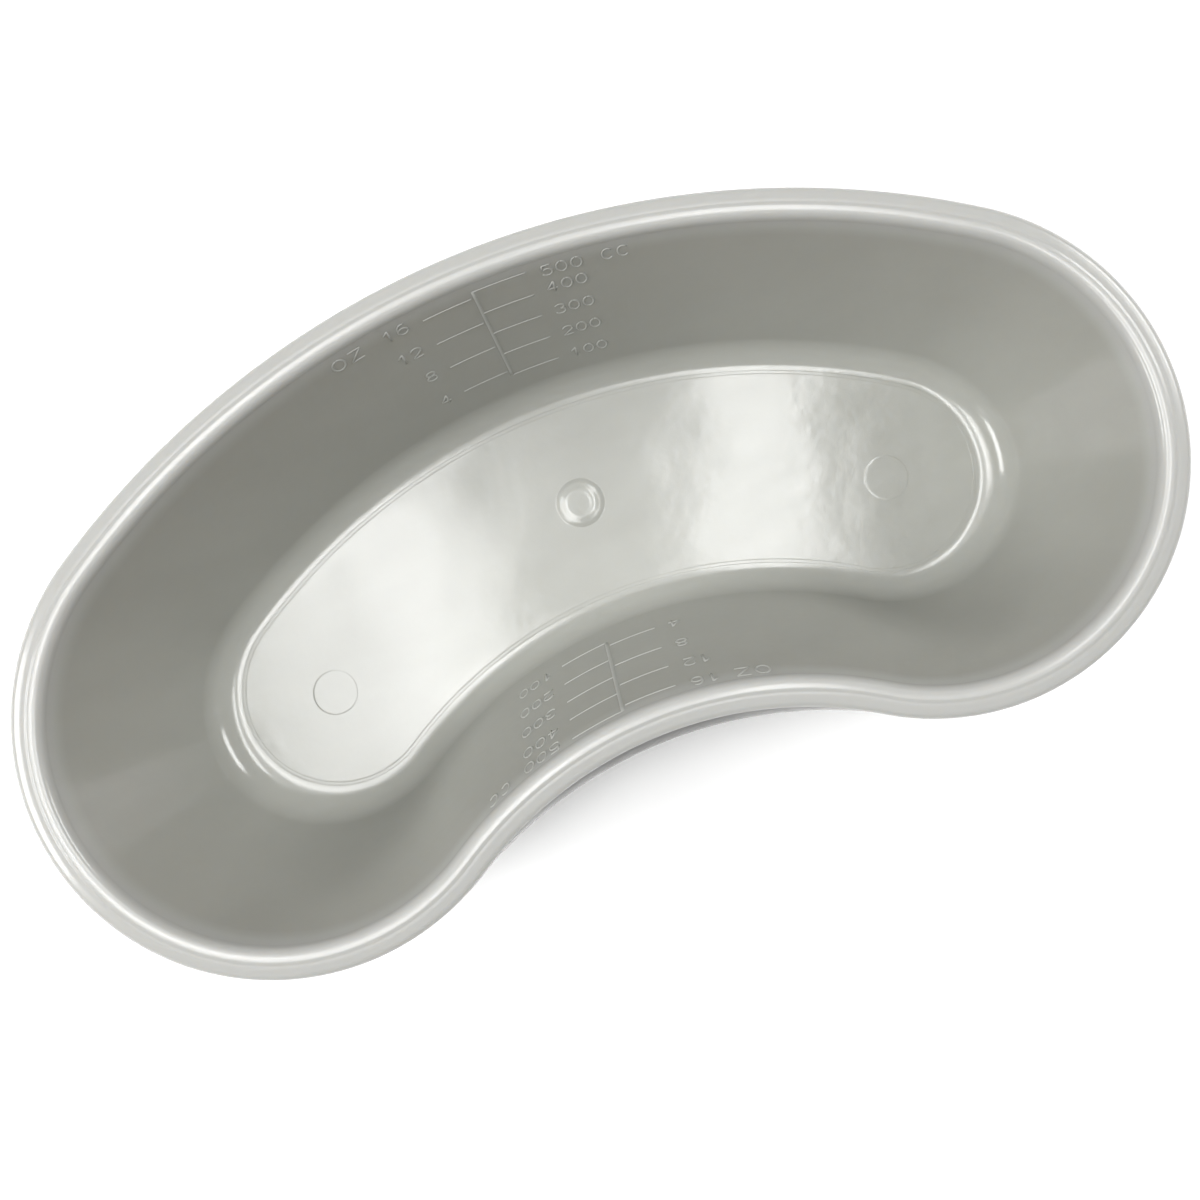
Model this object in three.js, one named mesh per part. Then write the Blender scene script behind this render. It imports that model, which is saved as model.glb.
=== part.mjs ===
// Graduated kidney dish (emesis basin): one injection-moulded polypropylene shell.
// Millimetres, +Z up. The origin is under the middle of the dish, on the surface it stands on.
// +X is the long way, +Y is the bulging back and -Y the hollow front.
import * as THREE from 'three';

// Plan of the rim's outer crest: four arcs that run into each other smoothly.
const HALF_LENGTH = 108;
const BACK_RADIUS = 158.8;
const END_RADIUS = 45.9;
const FRONT_RADIUS = 70.5;

// Heights above the surface the dish stands on.
const RIM_TOP = 50.5;
const FLOOR_TOP = 2.5;

// The inner wall face starts under the rim, inset from the rim's outer crest, and would
// meet the floor at its foot. The round ends are a little steeper, with a larger fillet.
const WALL = 1.6;
const WALL_TOP_INSET = 6.0;
const WALL_TOP_Z = 48.2;
const SIDE_FOOT_INSET = 20.8;
const END_FOOT_INSET = 19.3;
const SIDE_FILLET_RADIUS = 6.4;
const END_FILLET_RADIUS = 8.0;

// The floor is a raised panel. A shallow groove runs round it, right over the foot ring.
const FLOOR_EDGE_INSET = 26.1;
const FLOOR_EDGE_SLOPE = 0.6;
const GROOVE_DEPTH = 0.05;
const FOOT_WIDTH = 2.0;

// Turned-down skirt of the rim. It leans out a little, and more as a lip along the hollow.
const SKIRT_TOP_Z = 48.6;
const SKIRT_BOTTOM_Z = 42.8;
const SKIRT_FLARE = 0.3;
const SKIRT_WALL = 1.4;
const HOLLOW_LIP = 1.7;

// Gate dome in the middle of the floor, hollow underneath.
const GATE_Y = 8.9;
const GATE_RADIUS = 5.1;
const GATE_HEIGHT = 0.5;
const GATE_WELL_DEPTH = 0.9;

// Steps round each arc of the outline, round the base fillet and round the gate.
const BACK_STEPS = 26;
const END_STEPS = 22;
const FRONT_STEPS = 12;
const FILLET_STEPS = 6;
const GATE_STEPS = 20;

// ---------------------------------------------------------------- outline

// Centres of the arcs, from the radii and the half length. The rim's crest is centred on Y.
const endX = HALF_LENGTH - END_RADIUS;
const backAngle = Math.asin(endX / (BACK_RADIUS - END_RADIUS));
const backY = -0.5 * (BACK_RADIUS - END_RADIUS) * (1 + Math.cos(backAngle));
const endY = backY + (BACK_RADIUS - END_RADIUS) * Math.cos(backAngle);
const frontY = endY - Math.sqrt((END_RADIUS + FRONT_RADIUS) ** 2 - endX ** 2);
const frontAngle = Math.atan2(endX, endY - frontY);

// Points along one arc. The last one is left to the next arc.
function arc(x, y, radius, from, to, steps) {
  const curve = new THREE.ArcCurve(x, y, radius, from, to, to < from);
  return curve.getPoints(steps).slice(0, steps);
}

// Stations along one arc of the crest: the point, the unit vector inwards, how far the
// station counts as round end, and how far the hollow's lip stands out there.
function stations(x, y, radius, from, to, steps, inward, shape) {
  return arc(x, y, radius, from, to, steps).map((point, i) => ({
    point,
    inward: new THREE.Vector2(point.x - x, point.y - y).multiplyScalar(inward / radius),
    ...shape(i / steps),
  }));
}

const side = () => ({ end: 0, lip: 0 });
const roundEnd = (t) => ({ end: Math.sin(Math.PI * t) ** 2, lip: 0 });
const hollow = (t) => ({ end: 0, lip: HOLLOW_LIP * (1 - (2 * t - 1) ** 2) });

// The crest, counter-clockwise from above.
const north = Math.PI / 2;
const crest = [
  ...stations(endX, endY, END_RADIUS, -north - frontAngle, north - backAngle, END_STEPS, -1, roundEnd),
  ...stations(0, backY, BACK_RADIUS, north - backAngle, north + backAngle, BACK_STEPS, -1, side),
  ...stations(-endX, endY, END_RADIUS, north + backAngle, 3 * north + frontAngle, END_STEPS, -1, roundEnd),
  ...stations(0, frontY, FRONT_RADIUS, north + frontAngle, north - frontAngle, FRONT_STEPS, 1, hollow),
];

// A circle round the gate, counter-clockwise from above.
function gateCircle(radius) {
  return arc(0, GATE_Y, radius, 0, 2 * Math.PI, GATE_STEPS);
}

// ---------------------------------------------------------------- section

const grooveZ = FLOOR_TOP - GROOVE_DEPTH;

// The base fillet at a station. It is tangent to the groove's bottom and to the wall face.
// Its points are [inset, z] pairs at a distance outside the inner face, bottom point first.
function baseFillet(end) {
  const footInset = THREE.MathUtils.lerp(SIDE_FOOT_INSET, END_FOOT_INSET, end);
  const radius = THREE.MathUtils.lerp(SIDE_FILLET_RADIUS, END_FILLET_RADIUS, end);
  const slope = Math.atan2(grooveZ - WALL_TOP_Z, footInset - WALL_TOP_INSET);
  const inset = footInset + radius * Math.tan(-slope / 2);
  const z = grooveZ + radius;
  const points = (distance) => {
    const pairs = [];
    for (let i = 0; i <= FILLET_STEPS; i += 1) {
      const angle = -north + slope * (i / FILLET_STEPS);
      pairs.push([
        inset + (radius + distance) * Math.cos(angle),
        z + (radius + distance) * Math.sin(angle),
      ]);
    }
    return pairs;
  };
  return { inset, slope, points };
}

// Over the rim: an inner bead, a faint valley and the outer bead.
const rimTop = [
  [5.4, RIM_TOP - 1.1],
  [4.4, RIM_TOP - 0.2],
  [3.2, RIM_TOP - 0.25],
  [2.1, RIM_TOP],
  [0.9, RIM_TOP - 0.3],
  [0.2, RIM_TOP - 1.0],
];

// Down the skirt, round its lower edge and back up to the underside of the rim.
function skirt(lip) {
  const flare = SKIRT_FLARE + lip;
  return [
    [0, SKIRT_TOP_Z],
    [-0.75 * flare, THREE.MathUtils.lerp(SKIRT_TOP_Z, SKIRT_BOTTOM_Z, 0.55)],
    [-flare, SKIRT_BOTTOM_Z],
    [SKIRT_WALL - flare, SKIRT_BOTTOM_Z],
    [SKIRT_WALL + 0.1, SKIRT_TOP_Z - 0.4],
    [2.3, RIM_TOP - 1.8],
    [3.9, RIM_TOP - 1.8],
  ];
}

// The whole section at a station, from the edge of the floor up the inner wall, over the
// rim, down the outer wall and under the foot ring to the hollow panel.
function section({ end, lip }) {
  const fillet = baseFillet(end);
  const outward = fillet.slope - north;
  const footInset = fillet.inset + FOOT_WIDTH;
  return [
    [FLOOR_EDGE_INSET, FLOOR_TOP],
    [FLOOR_EDGE_INSET - FLOOR_EDGE_SLOPE, grooveZ],
    ...fillet.points(0),
    [WALL_TOP_INSET, WALL_TOP_Z],
    ...rimTop,
    ...skirt(lip),
    [WALL_TOP_INSET + WALL * Math.cos(outward), WALL_TOP_Z + WALL * Math.sin(outward)],
    ...fillet.points(grooveZ).reverse(),
    [footInset, 0],
    [footInset + 2 * FLOOR_EDGE_SLOPE, FLOOR_TOP - WALL],
  ];
}

// [radius, z] pairs of the gate dome's top and of the well under it, from the edge inwards.
const gateDome = [
  [GATE_RADIUS, FLOOR_TOP],
  [0.85 * GATE_RADIUS, FLOOR_TOP + 0.7 * GATE_HEIGHT],
  [0.55 * GATE_RADIUS, FLOOR_TOP + GATE_HEIGHT],
  [0.25 * GATE_RADIUS, FLOOR_TOP + 0.6 * GATE_HEIGHT],
];
const gateWell = [
  [GATE_RADIUS, FLOOR_TOP - WALL],
  [0.8 * GATE_RADIUS, FLOOR_TOP - WALL + GATE_WELL_DEPTH],
];

// ---------------------------------------------------------------- mesh

const positions = [];
const triangles = [];

// Adds one point and returns its number.
function addPoint(x, y, z) {
  return positions.push(x, y, z) / 3 - 1;
}

// Joins two rings. Seen from outside the solid, the second ring lies above a
// counter-clockwise first one.
function addBand(first, second) {
  for (let i = 0; i < first.length; i += 1) {
    const next = (i + 1) % first.length;
    triangles.push([first[i], first[next], second[next]]);
    triangles.push([first[i], second[next], second[i]]);
  }
}

// Fills a ring, less an optional hole, facing up or down.
function addCap(ring, hole, facesUp) {
  const point = (index) => new THREE.Vector2(positions[3 * index], positions[3 * index + 1]);
  const numbers = [...ring, ...hole];
  const holes = hole.length > 0 ? [hole.map(point)] : [];
  THREE.ShapeUtils.triangulateShape(ring.map(point), holes).forEach((face) => {
    const triangle = face.map((i) => numbers[i]);
    const [a, b, c] = triangle.map(point);
    const turnsLeft = b.clone().sub(a).cross(c.clone().sub(a)) > 0;
    triangles.push(turnsLeft === facesUp ? triangle : triangle.reverse());
  });
}

// Joins each ring of a list to the one before it.
function addBands(rings) {
  rings.slice(1).forEach((ring, i) => addBand(ring, rings[i]));
  return rings;
}

// One ring of points for each point of the section, all the way round the crest.
function shellRings() {
  const sections = crest.map(section);
  return sections[0].map((_, row) => crest.map(({ point, inward }, i) => {
    const [inset, z] = sections[i][row];
    return addPoint(point.x + inset * inward.x, point.y + inset * inward.y, z);
  }));
}

// Circles round the gate for a list of [radius, z] pairs.
function gateRings(pairs) {
  return pairs.map(([radius, z]) => gateCircle(radius).map(({ x, y }) => addPoint(x, y, z)));
}

function kidneyDishGeometry() {
  const shell = addBands(shellRings());
  const dome = addBands(gateRings([...gateDome].reverse()));
  const well = addBands(gateRings(gateWell));
  addCap(shell[0], dome[dome.length - 1], true);
  addCap(dome[0], [], true);
  addCap(shell[shell.length - 1], well[0], false);
  addCap(well[well.length - 1], [], false);
  const geometry = new THREE.BufferGeometry();
  geometry.setAttribute('position', new THREE.Float32BufferAttribute(positions, 3));
  geometry.setIndex(triangles.flat());
  geometry.computeVertexNormals();
  return geometry;
}

const polypropylene = new THREE.MeshStandardMaterial({
  color: 0xc9cac5,
  roughness: 0.22,
  metalness: 0,
});

const dish = new THREE.Mesh(kidneyDishGeometry(), polypropylene);
dish.name = 'kidney_dish';

const group = new THREE.Group();
group.add(dish);

export default group;
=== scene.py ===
"""Graduated kidney dish: one glossy, slightly translucent grey polypropylene moulding.

The dish stands on Z = 0 with its long way along X, its bulging back at +Y and its hollow front
at -Y. Lengths below are in millimetres and are turned into metres when a mesh is made.
"""
import math
import bpy
from mathutils import Matrix, Vector, noise
from mathutils.geometry import delaunay_2d_cdt


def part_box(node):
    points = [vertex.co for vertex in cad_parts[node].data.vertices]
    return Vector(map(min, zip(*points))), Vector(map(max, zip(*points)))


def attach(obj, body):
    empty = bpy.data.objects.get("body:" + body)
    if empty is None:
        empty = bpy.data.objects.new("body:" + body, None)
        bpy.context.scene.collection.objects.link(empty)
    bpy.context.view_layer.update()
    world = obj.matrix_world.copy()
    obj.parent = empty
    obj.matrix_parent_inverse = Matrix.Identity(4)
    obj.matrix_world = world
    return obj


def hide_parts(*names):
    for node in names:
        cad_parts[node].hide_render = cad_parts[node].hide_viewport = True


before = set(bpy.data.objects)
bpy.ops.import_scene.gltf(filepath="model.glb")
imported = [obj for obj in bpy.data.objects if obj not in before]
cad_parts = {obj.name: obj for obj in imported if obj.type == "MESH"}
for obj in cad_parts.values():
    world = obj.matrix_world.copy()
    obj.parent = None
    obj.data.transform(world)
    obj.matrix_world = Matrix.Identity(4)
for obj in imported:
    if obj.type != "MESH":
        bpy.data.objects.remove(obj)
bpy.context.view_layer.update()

MM = 0.001
NODE = "kidney_dish"
BODY = "root"

# ---------------------------------------------------------------- driving dimensions

# Plan of the rim's outer crest: four arcs that run into each other smoothly.
BACK_RADIUS = 158.8
END_RADIUS = 45.9
FRONT_RADIUS = 70.5

# Section. Insets are measured inwards from the rim's outer crest. The round ends are a little
# steeper, with a larger fillet, and the skirt stands out as a lip along the hollow.
SKIRT_FLARE = 0.3
SKIRT_HEIGHT = 7.7
SKIRT_WALL = 1.4
HOLLOW_LIP = 1.7
WALL = 1.6
WALL_TOP_INSET = 6.0
WALL_TOP_DROP = 2.3
SIDE_FOOT_INSET = 20.8
END_FOOT_INSET = 19.3
SIDE_FILLET_RADIUS = 6.4
END_FILLET_RADIUS = 8.0
FLOOR_TOP = 2.5
FLOOR_EDGE_INSET = 26.1
FLOOR_EDGE_SLOPE = 0.6
GROOVE_DEPTH = 0.05
FOOT_WIDTH = 2.0

# Gate dome in the middle of the floor, and the rings left by the ejector pins at its ends.
GATE_Y = 8.9
GATE_RADIUS = 5.1
GATE_HEIGHT = 0.5
GATE_WELL_DEPTH = 0.9
EJECTOR_X = 63.0
EJECTOR_Y = -9.8
EJECTOR_RADIUS = 4.65
EJECTOR_STEP = 0.035

# Where the section hands over to the floor panel above and to the panel under it.
PANEL_EDGE_INSET = FLOOR_EDGE_INSET + 0.5
UNDER_EDGE_INSET = FLOOR_EDGE_INSET + FOOT_WIDTH + 1.2

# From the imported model: overall size and height.
_, box_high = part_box(NODE)
HALF_LENGTH = box_high[0] / MM - SKIRT_FLARE
RIM_TOP = box_high[2] / MM

# Painted light and shade: how much painted shade darkens the hollow's lip at its middle, and the
# height from which a painted glow turns the wall paler towards the rim.
LIP_SHADE = 0.6
RIM_GLOW_Z = 44.0

# Points round each arc of the outline.
BACK_STEPS = 112
END_STEPS = 84
FRONT_STEPS = 52

# ---------------------------------------------------------------- outline

# BACK_Y puts the back and the two ends equally far from Y = 0.
END_X = HALF_LENGTH - END_RADIUS
BACK_ANGLE = math.asin(END_X / (BACK_RADIUS - END_RADIUS))
BACK_Y = -0.5 * (BACK_RADIUS - END_RADIUS) * (1 + math.cos(BACK_ANGLE))
END_Y = BACK_Y + (BACK_RADIUS - END_RADIUS) * math.cos(BACK_ANGLE)
FRONT_Y = END_Y - math.sqrt((END_RADIUS + FRONT_RADIUS) ** 2 - END_X ** 2)
FRONT_ANGLE = math.atan2(END_X, END_Y - FRONT_Y)


def arc_stations(x, y, radius, start, stop, steps, inward, shape):
    """Stations along one arc of the crest. The last one is left to the next arc.

    Each is the crest point, the direction inwards, how far it counts as round end, and how far
    the hollow's lip stands out there. inward is -1 where the arc's centre is inside the dish.
    """
    stations = []
    for i in range(steps):
        angle = start + (stop - start) * i / steps
        way = Vector((math.cos(angle), math.sin(angle)))
        stations.append((Vector((x, y)) + radius * way, inward * way, *shape(i / steps)))
    return stations


# The shape along each kind of arc, by the share of the way along it: how far it counts as round
# end, and how far the hollow's lip stands out.

def bulging_back(_):
    return 0.0, 0.0


def round_end(t):
    return math.sin(math.pi * t) ** 2, 0.0


def hollow(t):
    return 0.0, HOLLOW_LIP * (1 - (2 * t - 1) ** 2)


NORTH = math.pi / 2
CREST = (
    arc_stations(END_X, END_Y, END_RADIUS, -NORTH - FRONT_ANGLE, NORTH - BACK_ANGLE,
                 END_STEPS, -1, round_end)
    + arc_stations(0, BACK_Y, BACK_RADIUS, NORTH - BACK_ANGLE, NORTH + BACK_ANGLE,
                   BACK_STEPS, -1, bulging_back)
    + arc_stations(-END_X, END_Y, END_RADIUS, NORTH + BACK_ANGLE, 3 * NORTH + FRONT_ANGLE,
                   END_STEPS, -1, round_end)
    + arc_stations(0, FRONT_Y, FRONT_RADIUS, NORTH + FRONT_ANGLE, NORTH - FRONT_ANGLE,
                   FRONT_STEPS, 1, hollow)
)

# ---------------------------------------------------------------- section

GROOVE_Z = FLOOR_TOP - GROOVE_DEPTH
WALL_TOP_Z = RIM_TOP - WALL_TOP_DROP
SKIRT_BOTTOM_Z = RIM_TOP - SKIRT_HEIGHT
SIDE_DRAFT = math.atan2(SIDE_FOOT_INSET - WALL_TOP_INSET, WALL_TOP_Z - GROOVE_Z)


def lerp(low, high, t):
    return low + (high - low) * t


def polar(radius, angle):
    return radius * Vector((math.cos(angle), math.sin(angle)))


def line(start, stop, steps):
    """Points from start towards stop, without the last."""
    start, stop = Vector(start), Vector(stop)
    return [start.lerp(stop, i / steps) for i in range(steps)]


def smooth(points, steps):
    """A Catmull-Rom curve through all but the first and last point, without its end."""
    points = [Vector(point) for point in points]
    curve = []
    for a, b, c, d in zip(points, points[1:], points[2:], points[3:]):
        for i in range(steps):
            t = i / steps
            curve.append(0.5 * (2 * b + (c - a) * t + (2 * a - 5 * b + 4 * c - d) * t * t
                                + (3 * b - a - 3 * c + d) * t ** 3))
    return curve


def base_fillet(end):
    """Centre, radius and wall slope of the base fillet, tangent to groove and wall face."""
    foot_inset = lerp(SIDE_FOOT_INSET, END_FOOT_INSET, end)
    radius = lerp(SIDE_FILLET_RADIUS, END_FILLET_RADIUS, end)
    slope = math.atan2(GROOVE_Z - WALL_TOP_Z, foot_inset - WALL_TOP_INSET)
    centre = Vector((foot_inset + radius * math.tan(-slope / 2), GROOVE_Z + radius))
    return centre, radius, slope


def fillet_points(centre, radius, slope, steps):
    """Round the base from its bottom up to the wall, both ends included."""
    return [centre + polar(radius, -NORTH + slope * i / steps) for i in range(steps + 1)]


def rim_curve(wall_top, down_wall):
    """From the wall's top over the broad inner bead, a faint valley and the outer bead."""
    return smooth([
        wall_top + 1.2 * down_wall,
        wall_top,
        (5.85, RIM_TOP - 1.65),
        (5.63, RIM_TOP - 1.07),
        (5.33, RIM_TOP - 0.64),
        (5.0, RIM_TOP - 0.35),
        (4.7, RIM_TOP - 0.21),
        (4.3, RIM_TOP - 0.1),
        (3.9, RIM_TOP - 0.04),
        (3.5, RIM_TOP - 0.03),
        (3.2, RIM_TOP - 0.12),
        (2.9, RIM_TOP - 0.21),
        (2.4, RIM_TOP - 0.23),
        (1.8, RIM_TOP - 0.34),
        (0.9, RIM_TOP - 0.6),
        (0.25, RIM_TOP - 1.12),
        (0.0, RIM_TOP - 1.75),
        (0.1, RIM_TOP - 2.1),
        (0.22, RIM_TOP - 2.3),
    ], 5)


def skirt_curve(lip):
    """Down the skirt's outside, round its lower edge and up to the underside of the rim."""
    flare = SKIRT_FLARE + lip
    return smooth([
        (0.0, RIM_TOP - 1.75),
        (0.1, RIM_TOP - 2.1),
        (0.12 - 0.1 * lip, RIM_TOP - 2.6),
        (-0.3 * flare, RIM_TOP - 3.3),
        (-0.62 * flare, RIM_TOP - 4.4),
        (-0.88 * flare, RIM_TOP - 5.7),
        (-flare + 0.01, SKIRT_BOTTOM_Z + 0.75),
        (-flare + 0.1, SKIRT_BOTTOM_Z + 0.18),
        (-flare + 0.5, SKIRT_BOTTOM_Z + 0.01),
        (-flare + 0.95, SKIRT_BOTTOM_Z + 0.2),
        (-flare + SKIRT_WALL - 0.05, SKIRT_BOTTOM_Z + 0.9),
        (0.8 - 0.55 * flare, RIM_TOP - 5.0),
        (1.3 - 0.2 * flare, RIM_TOP - 3.2),
        (1.75, RIM_TOP - 2.2),
        (2.5, RIM_TOP - 1.85),
        (3.5, RIM_TOP - 1.8),
        (4.2, RIM_TOP - 2.2),
    ], 4)


def section(end, lip):
    """[inset, z] points at a station, from the floor's edge over the rim and under the foot."""
    centre, radius, slope = base_fillet(end)
    inner_fillet = fillet_points(centre, radius, slope, 22)
    outer_fillet = fillet_points(centre, radius + GROOVE_Z, slope, 16)
    wall_top = Vector((WALL_TOP_INSET, WALL_TOP_Z))
    outer_top = wall_top + polar(WALL, slope - NORTH)
    down_wall = polar(1.0, slope)
    groove_end = FLOOR_EDGE_INSET - FLOOR_EDGE_SLOPE
    groove = smooth([
        (FLOOR_EDGE_INSET + 1.0, FLOOR_TOP),
        (FLOOR_EDGE_INSET + 0.5, FLOOR_TOP),
        (FLOOR_EDGE_INSET + 0.2, FLOOR_TOP - 0.005),
        (FLOOR_EDGE_INSET, FLOOR_TOP - 0.025),
        (FLOOR_EDGE_INSET - 0.5 * FLOOR_EDGE_SLOPE, lerp(FLOOR_TOP, GROOVE_Z, 0.55)),
        (groove_end, GROOVE_Z + 0.012),
        inner_fillet[0],
        inner_fillet[1],
    ], 3)
    foot_inset = centre.x + FOOT_WIDTH
    panel_inset = foot_inset + 2 * FLOOR_EDGE_SLOPE
    under = [
        *line((centre.x, 0), (foot_inset - 0.1, 0), 4),
        Vector((foot_inset - 0.1, 0)),
        Vector((foot_inset + 0.05, 0.03)),
        *line((foot_inset + 0.15, 0.12), (panel_inset - 0.1, FLOOR_TOP - WALL - 0.08), 4),
        Vector((panel_inset - 0.1, FLOOR_TOP - WALL - 0.08)),
        Vector((panel_inset + 0.1, FLOOR_TOP - WALL)),
        Vector((UNDER_EDGE_INSET, FLOOR_TOP - WALL)),
    ]
    return (
        groove
        + inner_fillet[:-1]
        + line(inner_fillet[-1], wall_top, 32)
        + rim_curve(wall_top, down_wall)
        + skirt_curve(lip)
        + line((3.5, RIM_TOP - 1.8), outer_top, 3)
        + line(outer_top, outer_fillet[-1], 16)
        + outer_fillet[:0:-1]
        + under
    )


# A (painted lip shade, painted rim glow) pair that paints no shade or glow on the plastic's own
# look.
PLAIN_LOOK = (1.0, 0.0)


def lip_shade(inset, z, lip):
    """How much of the plastic's own look is left where the hollow's lip is shaded by the rim."""
    under_rim = z < RIM_TOP - 1.9 and inset < 0.6
    return 1 - LIP_SHADE * lip / HOLLOW_LIP if under_rim else 1.0


def rim_glow_and_softness(z):
    """From 0 down the wall to 1 on the rim, where a painted glow stands in for the light that
    soaks through the plastic; it also makes the rim rougher.
    """
    rise = min(max((z - RIM_GLOW_Z) / (WALL_TOP_Z - RIM_GLOW_Z), 0), 1)
    return rise * rise * (3 - 2 * rise)


def wall_inset(z):
    """Inset of the inner wall face of the sides at a height."""
    return WALL_TOP_INSET + (WALL_TOP_Z - z) * math.tan(SIDE_DRAFT)


# ---------------------------------------------------------------- mesh helpers

def make_object(name, vertices, faces, looks, material):
    """A smooth-shaded mesh object that rides on the dish's body. Vertices are in millimetres.

    looks has a (painted lip shade, painted rim glow) pair for each vertex.
    """
    mesh = bpy.data.meshes.new(name)
    mesh.from_pydata([tuple(MM * v) for v in vertices], [], faces)
    mesh.validate()
    mesh.polygons.foreach_set("use_smooth", [True] * len(mesh.polygons))
    for attribute, values in zip(("lip_shade", "rim_glow_and_softness"), zip(*looks)):
        mesh.attributes.new(attribute, "FLOAT", "POINT").data.foreach_set("value", values)
    mesh.materials.append(material)
    mesh.update()
    piece = bpy.data.objects.new(name, mesh)
    bpy.context.scene.collection.objects.link(piece)
    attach(piece, BODY)
    return piece


# Waves in the floor, as (height, length, place in the noise): a broad one and a fine one.
FLOOR_WAVES = ((0.16, 24.0, 3.1), (0.016, 7.0, 8.4))


def floor_warp(x, y):
    """How far the floor is off flat: a thin panel never cools quite evenly."""
    return sum(height * noise.noise(Vector((x / length, y / length, place)))
               for height, length, place in FLOOR_WAVES)


def fall(r, radius, width):
    """Smoothly from 1 inside a radius to 0 outside it, over a width."""
    t = min(max((radius + width / 2 - r) / width, 0.0), 1.0)
    return t * t * (3 - 2 * t)


# The gate dome from its middle outwards, as [share of its radius, share of its height]: a
# small recess, a gently falling ring and a rounded edge.
GATE_CURVE = smooth([
    (-0.2, 0.61),
    (0.0, 0.62),
    (0.2, 0.61),
    (0.36, 0.62),
    (0.44, 0.66),
    (0.52, 0.7),
    (0.6, 0.66),
    (0.68, 0.56),
    (0.76, 0.45),
    (0.82, 0.38),
    (0.88, 0.29),
    (0.94, 0.18),
    (0.98, 0.1),
    (1.01, 0.04),
    (1.03, 0.01),
    (1.06, 0.0),
    (1.1, 0.0),
    (1.15, 0.0),
], 3)


def gate_height(r):
    """Height of the gate dome over the floor, by distance from its middle."""
    share = r / GATE_RADIUS
    for (inner, high), (outer, low) in zip(GATE_CURVE, GATE_CURVE[1:]):
        if share <= outer:
            return GATE_HEIGHT * lerp(high, low, (share - inner) / (outer - inner))
    return 0.0


def ejector_height(r):
    """The faint raised disc that an ejector pin leaves."""
    return EJECTOR_STEP * fall(r, EJECTOR_RADIUS, 0.3)


GATE = Vector((0, GATE_Y))
EJECTORS = [Vector((side * EJECTOR_X, EJECTOR_Y)) for side in (-1, 1)]


def floor_height(point):
    """Height of the floor's top face at a point in plan."""
    z = FLOOR_TOP + floor_warp(point.x, point.y) + gate_height((point - GATE).length)
    for pin in EJECTORS:
        z += ejector_height((point - pin).length)
    return z


def underside_height(point):
    """Height of the panel under the floor, with the well behind the gate."""
    depth = GATE_WELL_DEPTH * fall((point - GATE).length, 0.88 * GATE_RADIUS, 0.6)
    return FLOOR_TOP - WALL + depth


def circle(centre, radius, steps):
    """Points round a circle in plan."""
    return [centre + radius * Vector((math.cos(a), math.sin(a)))
            for a in (2 * math.pi * i / steps for i in range(steps))]


RING_STEPS = 40
FLOOR_SPACING = 1.3
UNDER_SPACING = 4.0
ROW_PITCH = 0.866
CLEARANCE = 0.6


def panel_points(edge, spacing, rings):
    """Points for a panel inside an edge: feature rings, and an even grid away from them.

    The grid's rows are staggered. It keeps a share of the spacing clear of edge and rings.
    """
    points = [p for centre, radii in rings for r in radii for p in circle(centre, r, RING_STEPS)]
    reach = [(centre, max(radii) + CLEARANCE * spacing) for centre, radii in rings]
    most = int(HALF_LENGTH / spacing)
    for row in range(-most, most + 1):
        for column in range(-most, most + 1):
            point = Vector(((column + 0.5 * (row % 2)) * spacing, row * spacing * ROW_PITCH))
            if inset_of(point) < edge + CLEARANCE * spacing:
                continue
            if all((point - centre).length > r for centre, r in reach):
                points.append(point)
    return points


# Farther than this in front of the ends' centres, only the round ends count.
END_REACH = 60


def inset_of(point):
    """How far a point in plan lies inside the rim's crest."""
    if abs(point.x) > END_X or point.y < END_Y - END_REACH:
        centre = Vector((math.copysign(END_X, point.x), END_Y))
        return END_RADIUS - (point - centre).length
    back = BACK_RADIUS - (point - Vector((0, BACK_Y))).length
    front = (point - Vector((0, FRONT_Y))).length - FRONT_RADIUS
    end = min((point - Vector((side * END_X, END_Y))).length for side in (-1, 1))
    return max(min(back, front), END_RADIUS - end)


def add_panel(vertices, faces, edge_numbers, points, height, faces_up):
    """Fills an edge ring with triangles through the given points in plan."""
    edge = [vertices[n].to_2d() for n in edge_numbers]
    sides = [(i, (i + 1) % len(edge)) for i in range(len(edge))]
    plan = [Vector(p) for p in edge + points]
    found, _, triangles, source, _, _ = delaunay_2d_cdt(plan, sides, [], 1, 1e-6)
    numbers = []
    for place, origins in zip(found, source):
        if origins and origins[0] < len(edge):
            numbers.append(edge_numbers[origins[0]])
        else:
            numbers.append(len(vertices))
            vertices.append(Vector((place.x, place.y, height(place))))
    for triangle in triangles:
        a, b, c = (found[i] for i in triangle)
        turns_left = (b - a).cross(c - a) > 0
        corners = [numbers[i] for i in triangle]
        faces.append(corners if turns_left == faces_up else corners[::-1])


# ---------------------------------------------------------------- the dish

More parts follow.
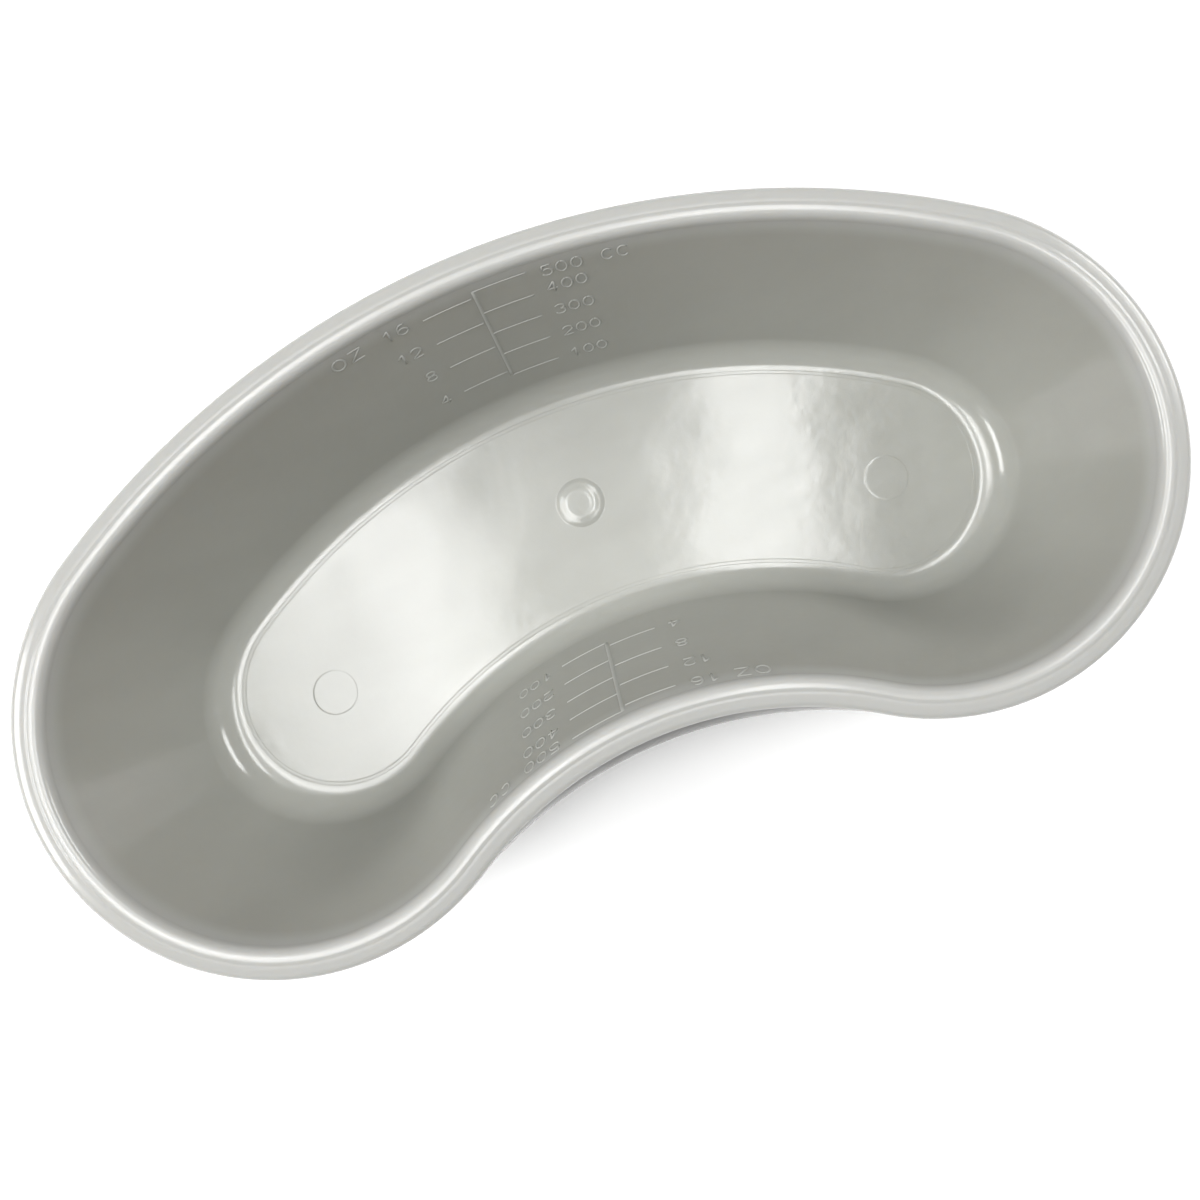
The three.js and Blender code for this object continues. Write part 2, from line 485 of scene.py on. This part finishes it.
def dish_mesh():
    """The closed shell: a section swept round the crest, the floor and the panel under it."""
    vertices, faces, looks = [], [], []
    sections = [section(end, lip) for _, _, end, lip in CREST]
    rows = len(sections[0])
    for row in range(rows):
        for (point, inward, _, lip), outline in zip(CREST, sections):
            inset, z = outline[row]
            vertices.append(Vector((*(point + inset * inward), z)))
            looks.append((lip_shade(inset, z, lip), rim_glow_and_softness(z)))
    count = len(CREST)
    for row in range(rows - 1):
        for i in range(count):
            j = (i + 1) % count
            lower, upper = row * count, (row + 1) * count
            faces.append((upper + i, upper + j, lower + j, lower + i))
    first_ring = range(count)
    last_ring = range((rows - 1) * count, rows * count)
    dome_radii = [GATE_RADIUS * r for r, _ in GATE_CURVE[1:]]
    pin_radii = [EJECTOR_RADIUS + d for d in (-1.2, -0.5, -0.2, -0.1, 0, 0.1, 0.2, 0.4, 0.9)]
    floor_rings = [(GATE, dome_radii)] + [(pin, pin_radii) for pin in EJECTORS]
    floor_points = panel_points(PANEL_EDGE_INSET, FLOOR_SPACING, floor_rings)
    add_panel(vertices, faces, first_ring, floor_points, floor_height, True)
    well_radii = [GATE_RADIUS * r for r in (0.7, 0.8, 0.86, 0.9, 0.96, 1.05)]
    under_points = panel_points(UNDER_EDGE_INSET, UNDER_SPACING, [(GATE, well_radii)])
    add_panel(vertices, faces, last_ring, under_points, underside_height, False)
    looks += [PLAIN_LOOK] * (len(vertices) - len(looks))
    return vertices, faces, looks


# ---------------------------------------------------------------- raised scale

# Each mark: height of its line, its numeral, and how far the numeral's middle lies above it.
CC_MARKS = ((13.2, "100", 0.4), (22.2, "200", 0.4), (30.6, "300", 0.4), (38.3, "400", 0.8),
            (46.0, "500", -1.3))
OZ_MARKS = ((15.2, "4", 0.3), (25.8, "8", 0.2), (35.2, "12", 0.6), (44.1, "16", 0.6))
STEM_FOOT_Z = 13.2
CC_TICK, CC_GAP = 10.1, 2.8
OZ_TICK, OZ_GAP = 10.3, 3.05
OZ_TICK_START = 0.7
CC_UNIT_AT = 26.7
UNIT_RISE = -1.2

# Each scale: where its stem stands, how far it sits above the marks' heights, and where its OZ is.
BACK_SCALE = (-3.2, 0.0, -25.6)
FRONT_SCALE = (5.2, 0.9, -24.4)

GLYPH_HEIGHT = 3.15
DIGIT = (1.95, 2.8)
CC_LETTER = (2.0, 2.9)
OZ_LETTER = (2.5, 3.6)
STEM_WIDTH = 0.64
TICK_WIDTH = 0.36
GLYPH_LINE_WIDTH = 0.42
BEAD_HEIGHT = 0.12


def bow(x, y, rx, ry, start, stop):
    """An elliptical arc, in degrees, as points a sixteenth of a turn or less apart."""
    steps = max(2, math.ceil(abs(stop - start) / 22.5))
    angles = (math.radians(start + (stop - start) * i / steps) for i in range(steps + 1))
    return [(x + rx * math.cos(a), y + ry * math.sin(a)) for a in angles]


# Strokes of each character in a box one wide and one high.
GLYPHS = {
    "0": [bow(0.5, 0.5, 0.5, 0.5, 90, 450)],
    "1": [[(0.1, 0.7), (0.55, 1), (0.55, 0)]],
    "2": [[*bow(0.5, 0.7, 0.5, 0.3, 170, -30), (0, 0), (1, 0)]],
    "3": [[*bow(0.48, 0.76, 0.45, 0.24, 160, -80), *bow(0.5, 0.27, 0.5, 0.27, 80, -160)]],
    "4": [[(0.68, 0), (0.68, 1), (0, 0.3), (1, 0.3)]],
    "5": [[(0.92, 1), (0.12, 1), (0.06, 0.54), *bow(0.48, 0.32, 0.5, 0.32, 125, -150)]],
    "6": [[*bow(0.55, 0.5, 0.52, 0.5, 60, 180), *bow(0.5, 0.3, 0.48, 0.3, 180, 540)]],
    "8": [bow(0.5, 0.76, 0.42, 0.24, -90, 270), bow(0.5, 0.26, 0.5, 0.26, 90, 450)],
    "C": [bow(0.5, 0.5, 0.5, 0.5, 45, 315)],
    "O": [bow(0.5, 0.5, 0.5, 0.5, 90, 450)],
    "Z": [[(0, 1), (1, 1), (0, 0), (1, 0)]],
}


def word_width(word, size):
    width, pitch = size
    return pitch * (len(word) - 1) + width


def word_strokes(word, left, z, size):
    """Strokes of a word that starts at left, centred in height on z, in wall coordinates."""
    width, pitch = size
    return [
        [(left + place * pitch + width * u, z + GLYPH_HEIGHT * (v - 0.5)) for u, v in stroke]
        for place, letter in enumerate(word) for stroke in GLYPHS[letter]
    ]


def ruling(start, stop, steps):
    return [*line(start, stop, steps), Vector(stop)]


def scale_strokes(stem, lift, oz_unit_at):
    """All strokes of one scale, as (line width, points along the wall and up)."""
    top = CC_MARKS[-1][0]
    rulings = [(STEM_WIDTH, ruling((stem, STEM_FOOT_Z + lift), (stem, top + lift), 16))]
    words = []
    for z, word, rise in CC_MARKS:
        z += lift
        rulings.append((TICK_WIDTH, ruling((stem, z), (stem + CC_TICK, z), 10)))
        words += word_strokes(word, stem + CC_TICK + CC_GAP, z + rise, DIGIT)
    for z, word, rise in OZ_MARKS:
        z += lift
        rulings.append((TICK_WIDTH, ruling((stem - OZ_TICK_START, z), (stem - OZ_TICK, z), 10)))
        left = stem - OZ_TICK - OZ_GAP - word_width(word, DIGIT)
        words += word_strokes(word, left, z + rise, DIGIT)
    for word, middle, size in (("CC", CC_UNIT_AT, CC_LETTER), ("OZ", oz_unit_at, OZ_LETTER)):
        left = stem + middle - word_width(word, size) / 2
        words += word_strokes(word, left, top + UNIT_RISE + lift, size)
    return rulings + [(GLYPH_LINE_WIDTH, stroke) for stroke in words]


def wall_frame(side, along, z):
    """Point, direction along the scale, direction up and normal on the inner wall face.

    side is 1 on the back wall and -1 on the front wall, whose scale reads the other way.
    """
    if side > 0:
        radius, centre_y, turn = BACK_RADIUS - wall_inset(z), BACK_Y, along
    else:
        radius, centre_y, turn = FRONT_RADIUS + wall_inset(z), FRONT_Y, -along
    angle = turn / radius
    out = Vector((math.sin(angle), math.cos(angle), 0))
    point = Vector((0, centre_y, z)) + radius * out
    across = side * Vector((math.cos(angle), -math.sin(angle), 0))
    normal = -side * math.cos(SIDE_DRAFT) * out + math.sin(SIDE_DRAFT) * Vector((0, 0, 1))
    return point, across, normal.cross(across), normal


# Across a bead: shares of its width, and heights over the wall as shares of its height. The
# sides carry on into the wall, and so do the ends.
BEAD_PROFILE = ((-0.75, -1.2), (-0.5, 0.0), (-0.3, 0.62), (-0.1, 0.95), (0.1, 0.95), (0.3, 0.62),
                (0.5, 0.0), (0.75, -1.2))
SHARP_TURN = math.cos(math.radians(50))
# How far an open end runs on, as a share of its width, and sinks, as a share of the height.
END_OVERSHOOT = 0.3
END_SINK = 1.6


def unbroken(stroke):
    """Cuts a stroke at its sharp corners."""
    runs = [[stroke[0]]]
    for before, here, after in zip(stroke, stroke[1:], stroke[2:]):
        runs[-1].append(here)
        first, second = Vector(here) - Vector(before), Vector(after) - Vector(here)
        if first.normalized().dot(second.normalized()) < SHARP_TURN:
            runs.append([here])
    runs[-1].append(stroke[-1])
    return runs


def add_bead(vertices, faces, side, width, stroke):
    """A low rounded bead along one run of a stroke. Open ends sink into the wall."""
    frames = [wall_frame(side, along, z) for along, z in stroke]
    places = [place for place, _, _, _ in frames]
    normals = [normal for _, _, _, normal in frames]
    closed = (places[0] - places[-1]).length < 1e-6
    if closed:
        before, after = [places[-2], *places[:-1]], [*places[1:], places[1]]
    else:
        before, after = [places[0], *places[:-1]], [*places[1:], places[-1]]
    ways = [(b - a).normalized() for a, b in zip(before, after)]
    sinks = [0.0] * len(places)
    if not closed:
        reach = END_OVERSHOOT * width
        places = [places[0] - reach * ways[0], *places, places[-1] + reach * ways[-1]]
        normals = [normals[0], *normals, normals[-1]]
        ways = [ways[0], *ways, ways[-1]]
        sinks = [END_SINK, *sinks, END_SINK]
    n = len(BEAD_PROFILE)
    start = len(vertices)
    for place, normal, way, sink in zip(places, normals, ways, sinks):
        sideways = normal.cross(way)
        vertices.extend(place + width * u * sideways + BEAD_HEIGHT * (v - sink) * normal
                        for u, v in BEAD_PROFILE)
    rings = range(start, len(vertices), n)
    for a, b in zip(rings, rings[1:]):
        for i in range(n):
            j = (i + 1) % n
            faces.append((a + i, b + i, b + j, a + j))
    faces.append([rings[0] + i for i in range(n)])
    faces.append([rings[-1] + i for i in reversed(range(n))])


def scale_mesh(side, stem, lift, oz_unit_at):
    """One wall's scale: its stem, its lines, and its numerals."""
    vertices, faces = [], []
    for width, stroke in scale_strokes(stem, lift, oz_unit_at):
        for run in unbroken(stroke):
            add_bead(vertices, faces, side, width, run)
    return vertices, faces, [PLAIN_LOOK] * len(vertices)


# ---------------------------------------------------------------- materials

def new_material(name):
    material = bpy.data.materials.new(name)
    material.use_nodes = True
    return material, material.node_tree.nodes, material.node_tree.links


def noise_node(nodes, links, coords, scale, detail):
    node = nodes.new("ShaderNodeTexNoise")
    node.inputs["Scale"].default_value = scale
    node.inputs["Detail"].default_value = detail
    links.new(coords, node.inputs["Vector"])
    return node.outputs["Fac"]


def ramp_node(nodes, links, factor, low, high):
    """Maps 0..1 to a range."""
    node = nodes.new("ShaderNodeMapRange")
    node.inputs["To Min"].default_value = low
    node.inputs["To Max"].default_value = high
    links.new(factor, node.inputs["Value"])
    return node.outputs["Result"]


def attribute_node(nodes, name):
    """A value stored at each vertex."""
    node = nodes.new("ShaderNodeAttribute")
    node.attribute_name = name
    return node.outputs["Fac"]


# The colour of the painted glow on the rim, and the roughness the rim has on top of the walls'.
RIM_GLOW_COLOUR = (0.443, 0.446, 0.43)
RIM_SOFTNESS = 0.07
# Noise fields, as (features per metre, detail): colour, gloss, orange peel and a slow ripple.
CLOUD = (30.0, 5.0)
GLOSS = (75.0, 6.0)
PEEL = (420.0, 2.0)
RIPPLE = (70.0, 1.0)
FLOW_STRETCH = (1.0, 3.2, 1.0)
PEEL_STRENGTH = 0.035
PEEL_DEPTH = 0.0006
RIPPLE_SHARE = 4.0


def polypropylene(name, dark, light, roughness, translucency):
    """Moulded polypropylene: slightly uneven colour and gloss, flow streaks, faint orange peel.

    The colour runs from dark to light, and the roughness over the range given.
    """
    material, nodes, links = new_material(name)
    shader = nodes["Principled BSDF"]
    coords = nodes.new("ShaderNodeTexCoord").outputs["Object"]
    stretch = nodes.new("ShaderNodeMapping")
    stretch.inputs["Scale"].default_value = FLOW_STRETCH
    links.new(coords, stretch.inputs["Vector"])
    along_flow = stretch.outputs["Vector"]

    cloud = noise_node(nodes, links, along_flow, *CLOUD)
    colour = nodes.new("ShaderNodeMix")
    colour.data_type = "RGBA"
    colour.inputs["A"].default_value = (*dark, 1)
    colour.inputs["B"].default_value = (*light, 1)
    links.new(ramp_node(nodes, links, cloud, -0.25, 1.25), colour.inputs["Factor"])
    # Painted glow: towards the rim the colour is mixed with a paler one, standing in for light
    # that soaks through the thin plastic.
    paler = nodes.new("ShaderNodeMix")
    paler.data_type = "RGBA"
    paler.inputs["B"].default_value = (*RIM_GLOW_COLOUR, 1)
    links.new(attribute_node(nodes, "rim_glow_and_softness"), paler.inputs["Factor"])
    links.new(colour.outputs["Result"], paler.inputs["A"])
    # Painted shade: the colour is darkened where the hollow's lip lies in shade under the rim.
    shaded = nodes.new("ShaderNodeVectorMath")
    shaded.operation = "SCALE"
    links.new(paler.outputs["Result"], shaded.inputs["Vector"])
    links.new(attribute_node(nodes, "lip_shade"), shaded.inputs["Scale"])
    links.new(shaded.outputs["Vector"], shader.inputs["Base Color"])

    low, high = roughness
    gloss = noise_node(nodes, links, along_flow, *GLOSS)
    softer = nodes.new("ShaderNodeMath")
    softer.operation = "MULTIPLY_ADD"
    softer.inputs[1].default_value = RIM_SOFTNESS
    links.new(attribute_node(nodes, "rim_glow_and_softness"), softer.inputs[0])
    links.new(ramp_node(nodes, links, gloss, low, high), softer.inputs[2])
    links.new(softer.outputs["Value"], shader.inputs["Roughness"])

    peel = noise_node(nodes, links, coords, *PEEL)
    ripple = noise_node(nodes, links, coords, *RIPPLE)
    height = nodes.new("ShaderNodeMath")
    height.operation = "MULTIPLY_ADD"
    height.inputs[1].default_value = RIPPLE_SHARE
    links.new(ripple, height.inputs[0])
    links.new(peel, height.inputs[2])
    bump = nodes.new("ShaderNodeBump")
    bump.inputs["Strength"].default_value = PEEL_STRENGTH
    bump.inputs["Distance"].default_value = PEEL_DEPTH
    links.new(height.outputs["Value"], bump.inputs["Height"])
    links.new(bump.outputs["Normal"], shader.inputs["Normal"])

    shader.inputs["IOR"].default_value = 1.49
    shader.inputs["Subsurface Weight"].default_value = translucency
    shader.inputs["Subsurface Radius"].default_value = (1.0, 0.85, 0.65)
    shader.inputs["Subsurface Scale"].default_value = 0.004
    return material


def stage_material():
    """Plain near-white tabletop."""
    material, nodes, links = new_material("white_table")
    shader = nodes["Principled BSDF"]
    coords = nodes.new("ShaderNodeTexCoord").outputs["Object"]
    grain = noise_node(nodes, links, coords, 60.0, 2.0)
    links.new(ramp_node(nodes, links, grain, 0.55, 0.65), shader.inputs["Roughness"])
    shader.inputs["Base Color"].default_value = (0.96, 0.96, 0.96, 1)
    return material


# ---------------------------------------------------------------- stage, light and camera

def make_stage():
    size = 3.0
    mesh = bpy.data.meshes.new("table")
    mesh.from_pydata([(-size, -size, 0), (size, -size, 0), (size, size, 0), (-size, size, 0)],
                     [], [(0, 1, 2, 3)])
    mesh.materials.append(stage_material())
    table = bpy.data.objects.new("table", mesh)
    bpy.context.scene.collection.objects.link(table)


def make_panel_light(name, place, target, size, radiance):
    """A rectangular light of a given brightness, aimed at a point. Lengths are in metres."""
    width, depth = size
    light = bpy.data.lights.new(name, "AREA")
    light.shape = "RECTANGLE"
    light.size = width
    light.size_y = depth
    light.energy = radiance * math.pi * width * depth
    lamp = bpy.data.objects.new(name, light)
    lamp.location = place
    lamp.rotation_mode = "QUATERNION"
    lamp.rotation_quaternion = (Vector(target) - Vector(place)).to_track_quat("-Z", "Y")
    bpy.context.scene.collection.objects.link(lamp)


def make_lights():
    """A wide dim overhead panel, two bright windows under it, and a softbox beyond each end.

    The windows make the bright patches on the floor. A narrower pane brightens the left one.
    """
    middle = (0, 0, 0)
    make_panel_light("overhead", (-0.235, 0.15, 1.5), (-0.235, 0.15, 0), (1.13, 0.9), 2.4)
    make_panel_light("window_left", (-0.34, 0.03, 1.35), middle, (0.6, 0.36), 7.8)
    make_panel_light("pane_left", (-0.29, 0.0, 1.34), middle, (0.42, 0.13), 5.0)
    make_panel_light("window_right", (0.2, 0.06, 1.35), (-0.03, 0.15, 0), (0.6, 0.16), 12.0)
    make_panel_light("softbox_left", (-1.1, 0.1, 0.75), middle, (0.7, 0.3), 15.0)
    make_panel_light("softbox_right", (1.1, 0.2, 0.7), middle, (0.6, 0.25), 14.5)
    world = bpy.data.worlds.new("room")
    bpy.context.scene.world = world
    world.use_nodes = True
    background = world.node_tree.nodes["Background"]
    background.inputs["Color"].default_value = (1, 1, 1, 1)
    background.inputs["Strength"].default_value = 0.12


# From the target to the camera, in millimetres and degrees.
CAMERA_DISTANCE = 265.5
CAMERA_ELEVATION = 88.11
CAMERA_AZIMUTH = -37.42
CAMERA_ROLL = -21.31
CAMERA_TARGET = (12.5, -0.8, 2.5)
CAMERA_LENS = 37.28
CAMERA_SHIFT = (-0.043, -0.0635)


def make_camera():
    """Looks nearly straight down. Its roll makes the dish lie at a slant in the picture."""
    azimuth, elevation, roll = map(math.radians, (CAMERA_AZIMUTH, CAMERA_ELEVATION, CAMERA_ROLL))
    back = Vector((math.sin(azimuth) * math.cos(elevation),
                   -math.cos(azimuth) * math.cos(elevation), math.sin(elevation)))
    level = Vector((0, 1, 0)).cross(back).normalized()
    upright = back.cross(level)
    right = math.cos(roll) * level + math.sin(roll) * upright
    up = math.cos(roll) * upright - math.sin(roll) * level
    data = bpy.data.cameras.new("camera")
    data.lens = CAMERA_LENS
    data.sensor_width = 36.0
    data.shift_x, data.shift_y = CAMERA_SHIFT
    data.clip_start = 0.01
    camera = bpy.data.objects.new("camera", data)
    place = MM * (Vector(CAMERA_TARGET) + CAMERA_DISTANCE * back)
    turn = Matrix((right, up, back)).transposed().to_4x4()
    camera.matrix_world = Matrix.Translation(place) @ turn
    bpy.context.scene.collection.objects.link(camera)
    bpy.context.scene.camera = camera


# ---------------------------------------------------------------- scene

bpy.context.scene.view_settings.view_transform = "Standard"
make_camera()
make_lights()
make_stage()

grey = polypropylene("grey_polypropylene", (0.345, 0.348, 0.318), (0.38, 0.383, 0.353),
                     (0.1, 0.2), 0.5)
# The raised scale is the same plastic. Its paler colour is partly painted light, standing in for
# the light its beads catch, and partly their frosted look; they are also rougher.
pale = polypropylene("raised_scale_grey", (0.4, 0.403, 0.378), (0.44, 0.443, 0.418),
                     (0.4, 0.55), 0.0)
dish = make_object("dish_shell", *dish_mesh(), grey)
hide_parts(NODE)
make_object("back_scale", *scale_mesh(1, *BACK_SCALE), pale)
make_object("front_scale", *scale_mesh(-1, *FRONT_SCALE), pale)
